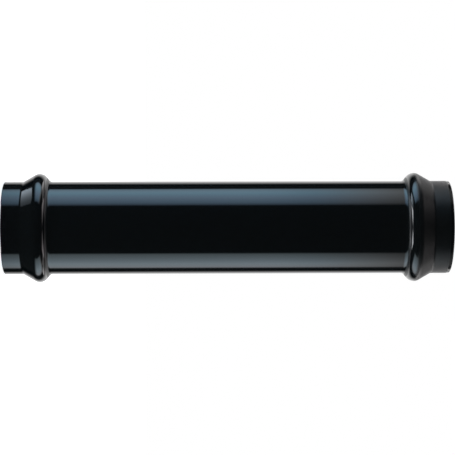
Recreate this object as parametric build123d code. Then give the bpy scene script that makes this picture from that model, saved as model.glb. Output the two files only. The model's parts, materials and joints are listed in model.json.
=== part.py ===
from build123d import *
import os
from math import cos, radians, sin, tan

# Long slip coupling that repairs a plastic pressure pipe. It is one extruded tube, open from
# end to end, with a ring groove formed outward in its wall near each mouth. A lip seal ring
# sits in each groove. There is no stop inside, so the whole coupling slides along the pipe.
#
# The tube stands on one mouth: Z is its axis, Z = 0 is the lower end face.
# Sizes are in millimetres and angles in degrees.

# Pipe that the coupling takes, and the radial gap around it
PIPE_DIAMETER = 110.0
SLIP_CLEARANCE = 0.4

# Tube
OVERALL_LENGTH = 600.0
TUBE_WALL = 7.1

# Mouth: the straight stretch in front of each groove, measured inside
MOUTH_LENGTH = 26.4
MOUTH_EDGE_CHAMFER = 0.8
LEAD_IN_LENGTH = 5.0
LEAD_IN_ANGLE = 15.0

# Ring groove: a long ramp on the mouth side, a round crest and a steep back
GROOVE_DEPTH = 11.2
GROOVE_WALL = 6.7
RAMP_ANGLE = 30.0
BACK_ANGLE = 60.0
CREST_ROUND = 5.6
INNER_FOOT_ROUND = 8.0
OUTER_RAMP_FOOT_ROUND = 6.0
OUTER_BACK_FOOT_ROUND = 8.0

# Lip seal ring: it fills the groove behind the ramp, and its lip points away from the mouth
SEAL_SEAT_CLEARANCE = 0.05
SEAL_LIP_BITE = 1.8
SEAL_TOE_SETBACK = 5.0
SEAL_TOE_GAP = 0.3
SEAL_LEAD_LENGTH = 12.0
SEAL_LAND_LENGTH = 6.0
SEAL_LIP_THICKNESS = 2.0
SEAL_LIP_OVERHANG = 1.0
SEAL_HOLLOW_DEPTH = 6.5
SEAL_HOLLOW_HEIGHT = 3.6
SEAL_HOLLOW_WIDTH = 1.4
SEAL_HEEL_HEIGHT = 4.7

# Radii from the tube's axis
PIPE_RADIUS = PIPE_DIAMETER / 2
BORE_RADIUS = PIPE_RADIUS + SLIP_CLEARANCE
TUBE_RADIUS = BORE_RADIUS + TUBE_WALL
SEAL_LAND_RADIUS = PIPE_RADIUS - SEAL_LIP_BITE

LEAD_IN_RISE = LEAD_IN_LENGTH * tan(radians(LEAD_IN_ANGLE))


def groove_corners(offset, base_radius):
    """Sharp corners of the groove's face moved outward by offset, down to base_radius.

    Each is (radius, distance from the mouth): the ramp's foot, the crest and the back's foot.
    """
    ramp = radians(RAMP_ANGLE)
    back = radians(BACK_ANGLE)

    # The sharp crest stands above the rounded one, whose top is at the groove's depth
    sharp_rise = CREST_ROUND * (cos((back - ramp) / 2) / cos((back + ramp) / 2) - 1)
    crest_height = GROOVE_DEPTH + sharp_rise
    crest_station = MOUTH_LENGTH + crest_height / tan(ramp)
    back_foot_station = crest_station + crest_height / tan(back)

    # Both faces move along their own normals, so the corners move along both
    rise = BORE_RADIUS - base_radius
    ramp_foot = MOUTH_LENGTH - offset / sin(ramp) - rise / tan(ramp)
    back_foot = back_foot_station + offset / sin(back) + rise / tan(back)
    crest = (ramp_foot * tan(ramp) + back_foot * tan(back)) / (tan(ramp) + tan(back))
    crest_radius = base_radius + (crest - ramp_foot) * tan(ramp)
    return (base_radius, ramp_foot), (crest_radius, crest), (base_radius, back_foot)


def mirrored(corner):
    """The same corner at the upper end of the tube."""
    radius, station = corner
    return radius, OVERALL_LENGTH - station


def revolved(corners, rounds):
    """Ring whose section, in radius and height, has these corners and corner rounds."""
    outline = FilletPolyline(*[(radius, 0, height) for radius, height in corners],
                             radius=rounds, close=True)
    return revolve(make_face(outline), axis=Axis.Z)


def coupling_body():
    """The tube with both ring grooves, as one wall."""
    outer = groove_corners(GROOVE_WALL, TUBE_RADIUS)
    inner = groove_corners(0, BORE_RADIUS)
    crest_outside = CREST_ROUND + GROOVE_WALL

    mouth_edge = [(TUBE_RADIUS - MOUTH_EDGE_CHAMFER, 0), (TUBE_RADIUS, MOUTH_EDGE_CHAMFER)]
    outer_end = mouth_edge + list(outer)
    outer_rounds = [0, 0, OUTER_RAMP_FOOT_ROUND, crest_outside, OUTER_BACK_FOOT_ROUND]
    inner_end = [(BORE_RADIUS + LEAD_IN_RISE, 0), (BORE_RADIUS, LEAD_IN_LENGTH), *inner]
    inner_rounds = [0, 0, INNER_FOOT_ROUND, CREST_ROUND, INNER_FOOT_ROUND]

    corners = outer_end + [mirrored(corner) for corner in reversed(outer_end)]
    corners += [mirrored(corner) for corner in inner_end] + list(reversed(inner_end))
    rounds = outer_rounds + outer_rounds[::-1] + inner_rounds + inner_rounds[::-1]
    return revolved(corners, rounds)


def seal_section():
    """Corners and rounds of the seal ring in the lower groove, in radius and height."""
    ramp_foot, crest, back_foot = groove_corners(-SEAL_SEAT_CLEARANCE, BORE_RADIUS)

    # Toe: a blunt front that clears the pipe and lies against the ramp
    toe = ramp_foot[1] + SEAL_TOE_SETBACK
    toe_on_ramp = (BORE_RADIUS + SEAL_TOE_SETBACK * tan(radians(RAMP_ANGLE)), toe)
    toe_at_pipe = (BORE_RADIUS + SEAL_TOE_GAP, toe)

    # Heel: the end of the outer leg, on the groove's back
    heel_radius = BORE_RADIUS + SEAL_HEEL_HEIGHT
    heel = (heel_radius, back_foot[1] - SEAL_HEEL_HEIGHT / tan(radians(BACK_ANGLE)))

    # Lip: a cone that leads the pipe in, and a land that bears on it
    land_start = (SEAL_LAND_RADIUS, toe + SEAL_LEAD_LENGTH)
    land_end = (SEAL_LAND_RADIUS, land_start[1] + SEAL_LAND_LENGTH)
    lip_tip = (SEAL_LAND_RADIUS + SEAL_LIP_THICKNESS, land_end[1] + SEAL_LIP_OVERHANG)

    # Hollow between lip and heel, which the water pressure opens
    hollow = lip_tip[1] - SEAL_HOLLOW_DEPTH
    hollow_lip_side = (BORE_RADIUS + SEAL_HOLLOW_HEIGHT - SEAL_HOLLOW_WIDTH / 2, hollow)
    hollow_heel_side = (BORE_RADIUS + SEAL_HOLLOW_HEIGHT + SEAL_HOLLOW_WIDTH / 2, hollow)

    front = [toe_at_pipe, toe_on_ramp, crest, heel]
    back = [hollow_heel_side, hollow_lip_side, lip_tip, land_end, land_start]
    rounds = [0, 0, CREST_ROUND - SEAL_SEAT_CLEARANCE, 0, 0, 0, 0, 0, 0]
    return front + back, rounds


def seal_rings():
    """The lower seal ring and the upper one, which is its mirror image."""
    corners, rounds = seal_section()
    lower = revolved(corners, rounds)
    upper = revolved([mirrored(corner) for corner in corners], rounds)
    return lower, upper


def main():
    lower_seal_ring, upper_seal_ring = seal_rings()
    pieces = {
        "coupling_body": coupling_body(),
        "lower_seal_ring": lower_seal_ring,
        "upper_seal_ring": upper_seal_ring,
    }
    os.makedirs("parts", exist_ok=True)
    for name, piece in pieces.items():
        export_step(piece, f"parts/{name}.step")


main()
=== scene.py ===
import json
from math import cos, pi, radians, sin, tan

import bpy
from bpy.props import FloatProperty, FloatVectorProperty, IntProperty, PointerProperty
from mathutils import Matrix, Vector


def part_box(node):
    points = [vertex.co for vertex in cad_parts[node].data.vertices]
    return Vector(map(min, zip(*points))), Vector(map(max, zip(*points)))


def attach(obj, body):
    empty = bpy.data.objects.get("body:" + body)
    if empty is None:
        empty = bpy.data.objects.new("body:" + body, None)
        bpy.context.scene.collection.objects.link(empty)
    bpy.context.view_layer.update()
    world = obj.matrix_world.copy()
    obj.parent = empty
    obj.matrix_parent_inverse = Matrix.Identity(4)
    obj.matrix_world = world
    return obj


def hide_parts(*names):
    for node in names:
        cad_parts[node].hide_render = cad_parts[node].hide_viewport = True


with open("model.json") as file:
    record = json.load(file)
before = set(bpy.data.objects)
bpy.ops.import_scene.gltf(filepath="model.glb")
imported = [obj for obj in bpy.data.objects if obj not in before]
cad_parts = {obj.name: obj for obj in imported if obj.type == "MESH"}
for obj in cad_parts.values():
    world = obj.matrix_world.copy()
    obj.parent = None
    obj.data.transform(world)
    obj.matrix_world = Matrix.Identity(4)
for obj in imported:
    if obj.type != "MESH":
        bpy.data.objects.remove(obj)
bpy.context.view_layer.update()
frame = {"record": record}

bl_info = {
    "name": "Pipe repair coupling",
    "version": (1, 0, 0),
    "blender": (4, 5, 0),
    "location": "View3D > Sidebar > Coupling",
    "description": "Models a long slip coupling for plastic pressure pipe, its seal rings and a studio",
    "category": "Add Mesh",
}

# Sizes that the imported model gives

MOUNTS = {mount["name"]: mount["dims"] for mount in frame["record"]["mounts"]}
BORE_RADIUS = MOUNTS["lower_socket"]["r_mm"] / 1000
LIP_RADIUS = MOUNTS["lower_seal"]["r_mm"] / 1000
LIP_LAND = MOUNTS["lower_seal"]["length_mm"] / 1000
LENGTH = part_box("coupling_body")[1].z

# Colour of each softbox from its camera side to its far side: (Y, red, green, blue)
LEFT_STOPS = (
    (-0.575, 0.0, 0.0, 0.0), (-0.53, 0.45, 0.64, 0.89), (-0.42, 0.92, 1.45, 2.0), (-0.2, 1.5, 2.2, 3.0),
    (0.02, 1.62, 2.78, 3.62), (0.12, 1.6, 2.5, 3.2), (0.24, 1.1, 1.55, 1.95), (0.285, 0.0, 0.0, 0.0),
)
RIGHT_STOPS = (
    (-0.4, 0.0, 0.0, 0.0), (-0.33, 1.0, 1.25, 1.35), (-0.1, 1.55, 1.95, 2.2), (0.02, 1.85, 2.3, 2.6),
    (0.12, 2.05, 2.5, 2.8), (0.3, 1.75, 1.95, 2.1), (0.35, 1.4, 1.5, 1.6), (0.43, 0.0, 0.0, 0.0),
)
WHITE = (1.0, 1.0, 1.0, 1.0)

# Modelling distances and angles, in metres and radians
MERGE_DISTANCE = 1e-5
START_SIZE = 0.001
SMOOTH_ANGLE = radians(25)
TUBE_ARC_STEP = radians(3)
TUBE_SUPPORT = 0.0006
SEAL_ARC_STEP = radians(10)
SEAL_SUPPORT = 0.00015


class CouplingSizes(bpy.types.PropertyGroup):
    """Sizes of the tube, its ring grooves and the seal rings."""

    length: FloatProperty(
        name="Length", description="From end face to end face", default=LENGTH, unit="LENGTH")
    bore_radius: FloatProperty(
        name="Bore radius", description="Inside radius of the tube", default=BORE_RADIUS, unit="LENGTH")
    wall: FloatProperty(
        name="Wall", description="Thickness of the tube's wall", default=0.0071, unit="LENGTH")
    mouth_length: FloatProperty(
        name="Mouth length", description="Straight bore in front of a groove", default=0.0264,
        unit="LENGTH")
    mouth_chamfer: FloatProperty(
        name="Mouth chamfer", description="Broken outer edge of an end face", default=0.0008,
        unit="LENGTH")
    lead_in_length: FloatProperty(
        name="Lead-in length", description="Length of the cone inside a mouth", default=0.005,
        unit="LENGTH")
    lead_in_angle: FloatProperty(
        name="Lead-in angle", description="Slope of the cone inside a mouth", default=radians(15),
        subtype="ANGLE")
    groove_depth: FloatProperty(
        name="Groove depth", description="From the bore to the top of a ring groove", default=0.0112,
        unit="LENGTH")
    groove_wall: FloatProperty(
        name="Groove wall", description="Wall thickness round a ring groove", default=0.0067,
        unit="LENGTH")
    ramp_angle: FloatProperty(
        name="Ramp angle", description="Slope of a groove's mouth side", default=radians(30),
        subtype="ANGLE")
    back_angle: FloatProperty(
        name="Back angle", description="Slope of a groove's far side", default=radians(60),
        subtype="ANGLE")
    crest_round: FloatProperty(
        name="Crest round", description="Radius at the top of a groove, inside", default=0.0056,
        unit="LENGTH")
    inner_foot_round: FloatProperty(
        name="Inner foot round", description="Radius where a groove meets the bore", default=0.008,
        unit="LENGTH")
    ramp_foot_round: FloatProperty(
        name="Ramp foot round", description="Outer radius at the foot of a ramp", default=0.006,
        unit="LENGTH")
    back_foot_round: FloatProperty(
        name="Back foot round", description="Outer radius at the foot of a back", default=0.008,
        unit="LENGTH")
    seal_seat: FloatProperty(
        name="Seal seat clearance", description="Gap between a seal ring and its groove",
        default=0.00005, unit="LENGTH")
    seal_edge_round: FloatProperty(
        name="Seal edge round", description="Radius on a seal ring's moulded edges", default=0.0005,
        unit="LENGTH")
    segments: IntProperty(
        name="Segments", description="Faces round the tube", default=256, min=32, max=512)


class CouplingFinish(bpy.types.PropertyGroup):
    """Colours and gloss of the plastic and the rubber."""

    plastic: FloatVectorProperty(
        name="Plastic", description="Colour of the tube", default=(0.0022, 0.0034, 0.0040),
        subtype="COLOR", min=0, max=1)
    plastic_roughness: FloatProperty(
        name="Plastic roughness", description="Roughness of the tube's skin", default=0.06,
        subtype="FACTOR", min=0, max=1)
    sawn_plastic: FloatVectorProperty(
        name="Sawn plastic", description="Colour of the end faces", default=(0.005, 0.0055, 0.006),
        subtype="COLOR", min=0, max=1)
    satin_roughness: FloatProperty(
        name="Satin roughness", description="Roughness of the upper mouth's skin", default=0.37,
        subtype="FACTOR", min=0, max=1)
    satin_start: FloatProperty(
        name="Satin start", description="From the upper end to where the satin skin is full",
        default=0.044, unit="LENGTH")
    satin_fade: FloatProperty(
        name="Satin fade", description="Length over which the satin skin sets in", default=0.009,
        unit="LENGTH")
    rim_start: FloatProperty(
        name="Rim start", description="From the upper end to where the glossy rim is full",
        default=0.0032, unit="LENGTH")
    rim_fade: FloatProperty(
        name="Rim fade", description="Length over which the satin skin ends", default=0.002,
        unit="LENGTH")
    fold_roughness: FloatProperty(
        name="Fold roughness", description="Roughness added in the fold behind each groove", default=0.3,
        subtype="FACTOR", min=0, max=1)
    fold_start: FloatProperty(
        name="Fold start", description="From the tube's middle to where the dull fold sets in",
        default=0.2382, unit="LENGTH")
    fold_end: FloatProperty(
        name="Fold end", description="From the tube's middle to where the dull fold ends", default=0.2424,
        unit="LENGTH")
    bore_roughness: FloatProperty(
        name="Bore roughness", description="Roughness added inside the tube", default=0.12,
        subtype="FACTOR", min=0, max=1)
    sawn_roughness: FloatProperty(
        name="Sawn roughness", description="Roughness of the end faces", default=0.5,
        subtype="FACTOR", min=0, max=1)
    rubber: FloatVectorProperty(
        name="Rubber", description="Colour of the seal rings", default=(0.012, 0.012, 0.013),
        subtype="COLOR", min=0, max=1)
    rubber_bloom: FloatVectorProperty(
        name="Rubber bloom", description="Colour where the rubber has bloomed", default=(0.022, 0.022, 0.023),
        subtype="COLOR", min=0, max=1)


class StudioSizes(bpy.types.PropertyGroup):
    """Camera and distance of the softboxes."""

    camera_distance: FloatProperty(
        name="Camera distance", description="From the camera to the middle of the tube",
        default=2.248, unit="LENGTH")
    camera_lens: FloatProperty(
        name="Camera lens", description="Focal length on a 36 mm sensor", default=131.28,
        subtype="DISTANCE_CAMERA")
    camera_aim: FloatProperty(
        name="Camera aim", description="Height above the middle of the tube that the camera looks at",
        default=0.00059, unit="LENGTH")
    camera_tilt: FloatProperty(
        name="Camera tilt", description="How far the camera looks up along the tube",
        default=radians(1.05), subtype="ANGLE")
    camera_roll: FloatProperty(
        name="Camera roll", description="How far the tube's upper end stands high in the picture",
        default=radians(0.159), subtype="ANGLE")
    softbox_distance: FloatProperty(
        name="Softbox distance", description="From the tube's axis to each softbox", default=0.8,
        unit="LENGTH")


# Section of the tube


def groove_corners(sizes, offset, base_radius):
    """Sharp corners of a groove's face moved outward by offset, down to base_radius.

    Each is (radius, distance from the mouth): the ramp's foot, the crest and the back's foot.
    """
    ramp = tan(sizes.ramp_angle)
    back = tan(sizes.back_angle)
    half_sum = (sizes.back_angle + sizes.ramp_angle) / 2
    half_difference = (sizes.back_angle - sizes.ramp_angle) / 2
    crest_height = sizes.groove_depth + sizes.crest_round * (cos(half_difference) / cos(half_sum) - 1)
    crest_station = sizes.mouth_length + crest_height / ramp
    rise = sizes.bore_radius - base_radius
    ramp_foot = sizes.mouth_length - offset / sin(sizes.ramp_angle) - rise / ramp
    back_foot = crest_station + crest_height / back + offset / sin(sizes.back_angle) + rise / back
    crest = (ramp_foot * ramp + back_foot * back) / (ramp + back)
    crest_radius = base_radius + (crest - ramp_foot) * ramp
    return (base_radius, ramp_foot), (crest_radius, crest), (base_radius, back_foot)


def strokes(corners, rounds, arc_step, support):
    """How a closed outline is drawn: a point for each straight run, (centre, turn, steps, end) for an arc.

    Each corner has its radius, and each arc a close point on both sides, which keeps its shading clean.
    """
    drawn = []
    for index, (corner, radius) in enumerate(zip(corners, rounds)):
        here = Vector(corner)
        if not radius:
            drawn.append(here)
            continue
        to_last = (Vector(corners[index - 1]) - here).normalized()
        to_next = (Vector(corners[(index + 1) % len(corners)]) - here).normalized()
        turn = pi - to_last.angle(to_next)
        reach = radius * tan(turn / 2)
        start = here + to_last * reach
        end = here + to_next * reach
        centre = here + (to_last + to_next).normalized() * (radius / cos(turn / 2))
        sense = 1 if (start - centre).cross(end - centre) > 0 else -1
        arc = (centre, sense * turn, max(2, round(turn / arc_step)), end)
        drawn += [start + to_last * support, start, arc, end + to_next * support]
    return drawn


def mirrored(points, length):
    """The same section points at the upper end."""
    return [(radius, length - station) for radius, station in points]


def tube_section(sizes):
    """Corners, as (radius, height), and rounds of the tube's wall."""
    tube_radius = sizes.bore_radius + sizes.wall
    lead_in_rise = sizes.lead_in_length * tan(sizes.lead_in_angle)
    chamfer = sizes.mouth_chamfer
    outer = [(tube_radius - chamfer, 0.0), (tube_radius, chamfer)]
    outer += groove_corners(sizes, sizes.groove_wall, tube_radius)
    outer_rounds = [0, 0, sizes.ramp_foot_round, sizes.crest_round + sizes.groove_wall,
                    sizes.back_foot_round]
    inner = [(sizes.bore_radius + lead_in_rise, 0.0), (sizes.bore_radius, sizes.lead_in_length)]
    inner += groove_corners(sizes, 0, sizes.bore_radius)
    inner_rounds = [0, 0, sizes.inner_foot_round, sizes.crest_round, sizes.inner_foot_round]

    corners = outer + mirrored(outer[::-1], sizes.length) + mirrored(inner, sizes.length) + inner[::-1]
    rounds = outer_rounds + outer_rounds[::-1] + inner_rounds + inner_rounds[::-1]
    return corners, rounds


def seal_section(sizes):
    """Corners and rounds of the lower seal ring, whose lip points away from the mouth."""
    toe_setback = 0.005
    toe_gap = 0.0003
    lead_length = 0.012
    lip_thickness = 0.002
    lip_overhang = 0.001
    hollow_depth = 0.0065
    hollow_height = 0.0036
    hollow_width = 0.0014
    heel_height = 0.0047

    ramp_foot, crest, back_foot = groove_corners(sizes, -sizes.seal_seat, sizes.bore_radius)
    toe = ramp_foot[1] + toe_setback
    land_start = toe + lead_length
    land_end = land_start + LIP_LAND
    lip_tip = land_end + lip_overhang
    hollow = lip_tip - hollow_depth
    corners = [
        (sizes.bore_radius + toe_gap, toe),
        (sizes.bore_radius + toe_setback * tan(sizes.ramp_angle), toe),
        crest,
        (sizes.bore_radius + heel_height, back_foot[1] - heel_height / tan(sizes.back_angle)),
        (sizes.bore_radius + hollow_height + hollow_width / 2, hollow),
        (sizes.bore_radius + hollow_height - hollow_width / 2, hollow),
        (LIP_RADIUS + lip_thickness, lip_tip),
        (LIP_RADIUS, land_end),
        (LIP_RADIUS, land_start),
    ]
    edge = sizes.seal_edge_round
    rounds = [edge, edge, sizes.crest_round - sizes.seal_seat, edge, edge, edge, edge, edge, 4 * edge]
    return corners, rounds


# Modelling


def turned_ring(context, name, outline):
    """A closed ring: the outline is drawn stroke by stroke in edit mode and spun about Z."""
    bpy.ops.object.select_all(action="DESELECT")
    bpy.ops.mesh.primitive_plane_add(size=START_SIZE, location=(0, 0, 0))
    piece = context.active_object
    piece.name = name
    piece.data.name = name
    bpy.ops.object.mode_set(mode="EDIT")
    bpy.ops.mesh.select_all(action="SELECT")
    bpy.ops.mesh.merge(type="CENTER")
    here = outline[0]
    bpy.ops.transform.translate(value=(here[0], 0, here[1]))
    for stroke in outline[1:] + outline[:1]:
        if len(stroke) == 4:
            centre, turn, steps, here = stroke
            bpy.ops.mesh.spin(steps=steps, angle=turn, center=(centre[0], 0, centre[1]), axis=(0, 1, 0))
            continue
        run = (stroke[0] - here[0], 0, stroke[1] - here[1])
        bpy.ops.mesh.extrude_region_move(TRANSFORM_OT_translate={"value": run})
        here = stroke
    bpy.ops.mesh.select_all(action="SELECT")
    bpy.ops.mesh.remove_doubles(threshold=MERGE_DISTANCE)
    bpy.ops.mesh.select_all(action="SELECT")
    segments = context.scene.coupling_sizes.segments
    bpy.ops.mesh.spin(steps=segments, angle=2 * pi, center=(0, 0, 0), axis=(0, 0, 1))
    bpy.ops.mesh.select_all(action="SELECT")
    bpy.ops.mesh.remove_doubles(threshold=MERGE_DISTANCE)
    bpy.ops.mesh.normals_make_consistent(inside=False)
    bpy.ops.object.mode_set(mode="OBJECT")
    bpy.ops.object.shade_smooth_by_angle(angle=SMOOTH_ANGLE)
    return piece


# Materials


class Nodes:
    """A short way to write a node tree."""

    def __init__(self, tree):
        self.tree = tree
        tree.nodes.clear()

    def add(self, kind, settings=None, **inputs):
        """Adds a node. Inputs are values, sockets or nodes, and a space in a name is an underscore."""
        node = self.tree.nodes.new(kind)
        for key, value in (settings or {}).items():
            setattr(node, key, value)
        for key, value in inputs.items():
            self.set(node, key.replace("_", " "), value)
        return node

    def set(self, node, key, value):
        """Links or sets one input, by name or number."""
        socket = node.inputs[int(key) if key.isdigit() else key]
        if isinstance(value, bpy.types.Node):
            value = value.outputs[0]
        if isinstance(value, bpy.types.NodeSocket):
            self.tree.links.new(value, socket)
        else:
            socket.default_value = value

    def math(self, operation, first, second=0.0):
        """One math node."""
        node = self.add("ShaderNodeMath", {"operation": operation})
        self.set(node, "0", first)
        self.set(node, "1", second)
        return node

    def blend(self, factor, first, second):
        """A value that goes from first to second as the factor goes from 0 to 1."""
        node = self.add("ShaderNodeMix")
        self.set(node, "0", factor)
        self.set(node, "2", first)
        self.set(node, "3", second)
        return node

    def blend_colours(self, factor, first, second):
        """A colour that goes from first to second as the factor goes from 0 to 1."""
        node = self.add("ShaderNodeMix", {"data_type": "RGBA"})
        self.set(node, "0", factor)
        self.set(node, "6", (*first, 1.0))
        self.set(node, "7", (*second, 1.0))
        return node.outputs[2]

    def between(self, value, low, high, to_low=0.0, to_high=1.0):
        """A value mapped from one range to another, and held there."""
        return self.add("ShaderNodeMapRange", {"interpolation_type": "SMOOTHSTEP"}, Value=value,
                        From_Min=low, From_Max=high, To_Min=to_low, To_Max=to_high)


def new_material(name):
    """An empty node material and its writer."""
    material = bpy.data.materials.new(name)
    material.use_nodes = True
    return material, Nodes(material.node_tree)


def black_plastic(finish, sizes):
    """Black extruded plastic: a glossy skin with faint lines along the tube, and a satin upper mouth."""
    material, nodes = new_material("black_plastic")
    place = nodes.add("ShaderNodeTexCoord").outputs["Object"]
    axes = nodes.add("ShaderNodeSeparateXYZ", Vector=place)
    height = axes.outputs["Z"]
    flat = nodes.add("ShaderNodeMapping", Vector=place, Scale=(1.0, 1.0, 0.0))
    away = nodes.add("ShaderNodeVectorMath", {"operation": "LENGTH"})
    nodes.set(away, "0", flat)

    # Lines that the extrusion die leaves, and the slow waves of the wall between them
    drawn_out = nodes.add("ShaderNodeMapping", Vector=place, Scale=(1.0, 1.0, 0.02))
    lines = nodes.add("ShaderNodeTexNoise", Vector=drawn_out, Scale=260.0, Detail=3.0)
    waves = nodes.add("ShaderNodeTexNoise", Vector=drawn_out, Scale=28.0, Detail=1.0)
    relief = nodes.math("ADD", lines, nodes.math("MULTIPLY", waves, 1.5))
    bump = nodes.add("ShaderNodeBump", Strength=0.02, Distance=0.0002, Height=relief)

    # The skin is polished outside and plainer in the bore
    gloss_range = 0.04
    bore_full, bore_none = 0.001, 0.003
    gloss = nodes.between(lines, 0.3, 0.7, finish.plastic_roughness, finish.plastic_roughness + gloss_range)
    bore = nodes.between(away.outputs["Value"], sizes.bore_radius + bore_full, sizes.bore_radius + bore_none,
                         finish.bore_roughness, 0.0)
    skin = nodes.math("ADD", gloss, bore)

    # The satin stretch runs from the upper groove's crest to just short of the end, and is a little cloudy
    satin_range = 0.03
    satin_full = sizes.length - finish.satin_start
    rim_full = sizes.length - finish.rim_start
    rise = nodes.between(height, satin_full - finish.satin_fade, satin_full)
    rim = nodes.between(height, rim_full - finish.rim_fade, rim_full, 1.0, 0.0)
    satin = nodes.math("MULTIPLY", rise, rim)
    clouds = nodes.add("ShaderNodeTexNoise", Vector=place, Scale=90.0, Detail=2.0)
    dull = nodes.between(clouds, 0.3, 0.7, finish.satin_roughness - satin_range,
                         finish.satin_roughness + satin_range)
    skin = nodes.blend(satin, skin, dull)

    # The skin is duller in the fold behind each groove
    fold_rise, fold_fall = 0.0012, 0.0008
    middle = nodes.math("ABSOLUTE", nodes.math("SUBTRACT", height, sizes.length / 2))
    fold = nodes.math("MULTIPLY", nodes.between(middle, finish.fold_start, finish.fold_start + fold_rise),
                      nodes.between(middle, finish.fold_end - fold_fall, finish.fold_end, 1.0, 0.0))
    skin = nodes.math("ADD", skin, nodes.math("MULTIPLY", fold, finish.fold_roughness))

    # The sawn end faces, and most of their broken edges
    sawn_full, sawn_none = 0.0002, 0.0007
    lower_end = nodes.between(height, sawn_full, sawn_none, 1.0, 0.0)
    upper_end = nodes.between(height, sizes.length - sawn_none, sizes.length - sawn_full)
    sawn = nodes.math("ADD", lower_end, upper_end)
    skin = nodes.blend(sawn, skin, finish.sawn_roughness)
    tone = nodes.blend_colours(sawn, finish.plastic, finish.sawn_plastic)
    shader = nodes.add("ShaderNodeBsdfPrincipled", Base_Color=tone, Roughness=skin, IOR=1.54, Normal=bump)
    nodes.add("ShaderNodeOutputMaterial", Surface=shader)
    return material


def seal_rubber(finish):
    """Matt moulded rubber, with a fine grain and a pale bloom here and there."""
    material, nodes = new_material("seal_rubber")
    place = nodes.add("ShaderNodeTexCoord").outputs["Object"]
    grain = nodes.add("ShaderNodeTexNoise", Vector=place, Scale=900.0, Detail=4.0)
    bump = nodes.add("ShaderNodeBump", Strength=0.15, Distance=0.0002, Height=grain)
    patches = nodes.add("ShaderNodeTexNoise", Vector=place, Scale=45.0, Detail=3.0)
    bloom = nodes.between(patches, 0.45, 0.75)
    tone = nodes.blend_colours(bloom, finish.rubber, finish.rubber_bloom)
    shader = nodes.add("ShaderNodeBsdfPrincipled", Base_Color=tone, Roughness=nodes.blend(bloom, 0.45, 0.6),
                       Normal=bump)
    nodes.add("ShaderNodeOutputMaterial", Surface=shader)
    return material


# Studio


def emission(name, strength_of):
    """A light-giving material; strength_of(nodes, place) returns (colour, strength)."""
    material, nodes = new_material(name)
    place = nodes.add("ShaderNodeTexCoord").outputs["Object"]
    colour, strength = strength_of(nodes, place)
    shader = nodes.add("ShaderNodeEmission", Color=colour, Strength=strength)
    nodes.add("ShaderNodeOutputMaterial", Surface=shader)
    return material


def card(context, name, corner, opposite, material):
    """A flat rectangular light between two opposite corners, with one side of zero size."""
    low = Vector(map(min, corner, opposite))
    high = Vector(map(max, corner, opposite))
    size = high - low
    flat = min(range(3), key=lambda axis: size[axis])
    turn = {0: (0, pi / 2, 0), 1: (pi / 2, 0, 0), 2: (0, 0, 0)}[flat]
    bpy.ops.object.select_all(action="DESELECT")
    bpy.ops.mesh.primitive_plane_add(size=1.0, location=(0, 0, 0), rotation=turn)
    bpy.ops.object.transform_apply(location=False, rotation=True, scale=False)
    board = context.active_object
    board.name = name
    board.scale = [max(length, MERGE_DISTANCE) for length in size]
    board.location = (low + high) / 2
    bpy.ops.object.transform_apply(location=True, rotation=False, scale=True)
    board.data.materials.append(material)
    board.visible_camera = False


def graded(nodes, value, stops):
    """A colour that runs through the stops, given as (value, red, green, blue)."""
    low, high = stops[0][0], stops[-1][0]
    peak = max(max(stop[1:]) for stop in stops)
    ramp = nodes.add("ShaderNodeValToRGB")
    nodes.set(ramp, "0", nodes.add("ShaderNodeMapRange", Value=value, From_Min=low, From_Max=high))
    elements = ramp.color_ramp.elements
    for index, (place, *colour) in enumerate(stops):
        spot = (place - low) / (high - low)
        element = elements[index] if index < 2 else elements.new(spot)
        element.position = spot
        element.color = (*(channel / peak for channel in colour), 1.0)
    return ramp, peak


def softbox_light(stops, low, low_fade, high, high_fade):
    """Light graded along Y by the stops, faded at its low and high ends, and paler toward the high one."""
    def strength_of(nodes, place):
        axes = nodes.add("ShaderNodeSeparateXYZ", Vector=place)
        colour, peak = graded(nodes, axes.outputs["Y"], stops)
        rise = nodes.between(axes.outputs["Z"], low, low + low_fade)
        fall = nodes.between(axes.outputs["Z"], high - high_fade, high, peak, 0.0)
        pale = nodes.between(axes.outputs["Z"], 0.45, 0.7, 1.0, 0.0)
        paled = nodes.add("ShaderNodeHueSaturation", Saturation=pale, Color=colour)
        return paled, nodes.math("MULTIPLY", rise, fall)
    return strength_of


def end_light(colour, strength, flare=0.0):
    """Light beyond an end: dimmer down the middle, with brighter wings away from the camera."""
    def strength_of(nodes, place):
        axes = nodes.add("ShaderNodeSeparateXYZ", Vector=place)
        across = nodes.math("ABSOLUTE", axes.outputs["X"])
        inner = nodes.between(across, 0.0, 0.6, 0.2 * strength, strength)
        wings = nodes.math("MULTIPLY", nodes.between(across, 0.5, 1.2, 0.0, flare),
                           nodes.between(axes.outputs["Y"], 0.1, 0.5))
        return (*colour, 1.0), nodes.math("ADD", inner, wings)
    return strength_of


def oval_light(centre, radii, strength, fade):
    """White light in an oval, with a soft rim."""
    def strength_of(nodes, place):
        moved = nodes.add("ShaderNodeMapping", {"vector_type": "TEXTURE"}, Vector=place, Location=centre,
                          Scale=radii)
        away = nodes.add("ShaderNodeVectorMath", {"operation": "LENGTH"})
        nodes.set(away, "0", moved)
        return WHITE, nodes.between(away.outputs["Value"], 1 - fade, 1 + fade, strength, 0.0)
    return strength_of


def fill_light(nodes, place):
    """Light on the boards beside the upper end, weaker toward their tops."""
    axes = nodes.add("ShaderNodeSeparateXYZ", Vector=place)
    return (1.0, 0.98, 0.98, 1.0), nodes.between(axes.outputs["Z"], 1.1, 1.5, 2.0, 0.7)


def corner_light(nodes, place):
    """Light on the panel beside the lower end, stronger away from the camera."""
    axes = nodes.add("ShaderNodeSeparateXYZ", Vector=place)
    return (0.80, 0.94, 1.08, 1.0), nodes.between(axes.outputs["Y"], -0.25, 0.6, 0.5, 3.0)


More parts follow.
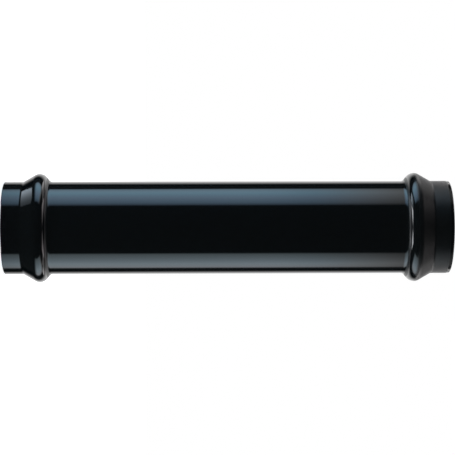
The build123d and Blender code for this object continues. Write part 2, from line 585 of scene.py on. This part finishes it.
class COUPLING_OT_tube(bpy.types.Operator):
    """Model the tube with its two ring grooves"""

    bl_idname = "coupling.tube"
    bl_label = "Tube"

    def execute(self, context):
        sizes = context.scene.coupling_sizes
        corners, rounds = tube_section(sizes)
        tube = turned_ring(context, "tube", strokes(corners, rounds, TUBE_ARC_STEP, TUBE_SUPPORT))
        tube.data.materials.append(black_plastic(context.scene.coupling_finish, sizes))
        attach(tube, "root")
        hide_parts("coupling_body")
        return {"FINISHED"}


class COUPLING_OT_seals(bpy.types.Operator):
    """Model the seal ring in each groove"""

    bl_idname = "coupling.seals"
    bl_label = "Seal rings"

    def execute(self, context):
        sizes = context.scene.coupling_sizes
        lower, rounds = seal_section(sizes)
        upper = mirrored(lower, sizes.length)
        rubber = seal_rubber(context.scene.coupling_finish)
        for name, corners in (("lower_seal", lower), ("upper_seal", upper)):
            ring = turned_ring(context, name, strokes(corners, rounds, SEAL_ARC_STEP, SEAL_SUPPORT))
            ring.data.materials.append(rubber)
            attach(ring, "root")
            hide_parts(f"{name}_ring")
        return {"FINISHED"}


class COUPLING_OT_studio(bpy.types.Operator):
    """Set up the floor, the softboxes, the surround and the camera"""

    bl_idname = "coupling.studio"
    bl_label = "Studio"

    def execute(self, context):
        self.floor(context)
        self.softboxes(context)
        self.surround(context)
        self.camera(context)
        context.scene.view_settings.view_transform = "Standard"
        return {"FINISHED"}

    def floor(self, context):
        """A plain pale floor."""
        bpy.ops.object.select_all(action="DESELECT")
        bpy.ops.mesh.primitive_plane_add(size=12.0, location=(0, 0, 0))
        floor = context.active_object
        floor.name = "floor"
        material, nodes = new_material("pale_floor")
        place = nodes.add("ShaderNodeTexCoord").outputs["Object"]
        away = nodes.add("ShaderNodeVectorMath", {"operation": "LENGTH"})
        nodes.set(away, "0", place)
        paint = nodes.add("ShaderNodeBsdfDiffuse", Color=(0.9, 0.9, 0.9, 1.0))
        glow = nodes.add("ShaderNodeEmission", Color=WHITE,
                         Strength=nodes.between(away.outputs["Value"], 0.6, 2.0, 0.8, 1.0))
        both = nodes.add("ShaderNodeAddShader")
        nodes.set(both, "0", paint)
        nodes.set(both, "1", glow)
        nodes.add("ShaderNodeOutputMaterial", Surface=both)
        floor.data.materials.append(material)
        floor.visible_glossy = False

    def softbox(self, context, side, x, stops, high, high_fade):
        """One softbox at x, as wide in Y as its stops and up to the height high."""
        light = softbox_light(stops, low=-0.32, low_fade=0.35, high=high, high_fade=high_fade)
        card(context, f"{side}_softbox", (x, stops[0][0], -0.35), (x, stops[-1][0], high),
             emission(f"{side}_light", light))

    def softboxes(self, context):
        """Long softboxes beside the tube, a white backdrop and panels beyond the two ends."""
        reach = context.scene.coupling_studio.softbox_distance
        self.softbox(context, "left", -reach, LEFT_STOPS, high=0.83, high_fade=0.5)
        self.softbox(context, "right", reach, RIGHT_STOPS, high=0.82, high_fade=0.45)
        card(context, "backdrop", (-2.0, 1.5, -2.2), (1.9, 1.5, 2.7),
             emission("white_backdrop", oval_light((-0.05, 1.5, 0.3), (1.17, 1.0, 1.5), 1.15, 0.38)))
        fill = emission("upper_fill_light", fill_light)
        card(context, "left_upper_fill", (-1.25, 0.35, 0.85), (-1.25, 1.5, 2.2), fill)
        card(context, "right_upper_fill", (1.25, 0.35, 0.85), (1.25, 1.5, 2.2), fill)
        card(context, "corner_panel", (-1.22, -0.2, -1.0), (-0.7, 0.75, -1.0),
             emission("corner_light", corner_light))
        card(context, "low_end_panel", (-1.2, -0.3, -2.6), (1.2, 2.0, -2.6),
             emission("low_end_light", end_light((1.0, 1.02, 1.08), 6.0)))
        card(context, "high_end_panel", (-1.7, -0.3, 3.2), (1.7, 2.0, 3.2),
             emission("high_end_light", end_light((1.0, 0.93, 0.96), 0.9, flare=1.1)))

    def surround(self, context):
        """White where the camera looks, and dim for everything else."""
        world = bpy.data.worlds.new("surround")
        context.scene.world = world
        world.use_nodes = True
        nodes = Nodes(world.node_tree)
        white = nodes.add("ShaderNodeBackground", Color=WHITE, Strength=1.0)
        dim = nodes.add("ShaderNodeBackground", Color=WHITE, Strength=0.03)
        seen = nodes.add("ShaderNodeLightPath").outputs["Is Camera Ray"]
        both = nodes.add("ShaderNodeMixShader")
        nodes.set(both, "0", seen)
        nodes.set(both, "1", dim)
        nodes.set(both, "2", white)
        nodes.add("ShaderNodeOutputWorld", Surface=both)

    def camera(self, context):
        """A long lens a little below the middle, turned so that the tube lies across the picture."""
        studio = context.scene.coupling_studio
        middle = Vector((0, 0, context.scene.coupling_sizes.length / 2 + studio.camera_aim))
        tilt = studio.camera_tilt
        forward = Vector((0, cos(tilt), sin(tilt)))
        right = Vector((0, -sin(tilt), cos(tilt)))
        up = Vector((-1, 0, 0))
        roll = studio.camera_roll
        rolled_right = right * cos(roll) - up * sin(roll)
        rolled_up = up * cos(roll) + right * sin(roll)
        data = bpy.data.cameras.new("camera")
        data.lens = studio.camera_lens
        data.sensor_width = 36.0
        camera = bpy.data.objects.new("camera", data)
        context.scene.collection.objects.link(camera)
        turn = Matrix((rolled_right, rolled_up, -forward)).transposed()
        camera.matrix_world = Matrix.Translation(middle - forward * studio.camera_distance) @ turn.to_4x4()
        context.scene.camera = camera


class COUPLING_PT_panel(bpy.types.Panel):
    """The coupling's pieces in the sidebar of the 3D view"""

    bl_idname = "COUPLING_PT_panel"
    bl_label = "Pipe repair coupling"
    bl_space_type = "VIEW_3D"
    bl_region_type = "UI"
    bl_category = "Coupling"

    def draw(self, context):
        for operator in OPERATORS:
            self.layout.operator(operator.bl_idname)
        for group in ("coupling_sizes", "coupling_finish", "coupling_studio"):
            settings = getattr(context.scene, group)
            for name in settings.__annotations__:
                self.layout.prop(settings, name)


OPERATORS = (COUPLING_OT_tube, COUPLING_OT_seals, COUPLING_OT_studio)
GROUPS = {"coupling_sizes": CouplingSizes, "coupling_finish": CouplingFinish, "coupling_studio": StudioSizes}
CLASSES = (*GROUPS.values(), *OPERATORS, COUPLING_PT_panel)


def register():
    for one in CLASSES:
        bpy.utils.register_class(one)
    for name, group in GROUPS.items():
        setattr(bpy.types.Scene, name, PointerProperty(type=group))


def unregister():
    for name in GROUPS:
        delattr(bpy.types.Scene, name)
    for one in reversed(CLASSES):
        bpy.utils.unregister_class(one)


def main():
    register()
    bpy.ops.coupling.tube()
    bpy.ops.coupling.seals()
    bpy.ops.coupling.studio()


if __name__ == "__main__":
    main()
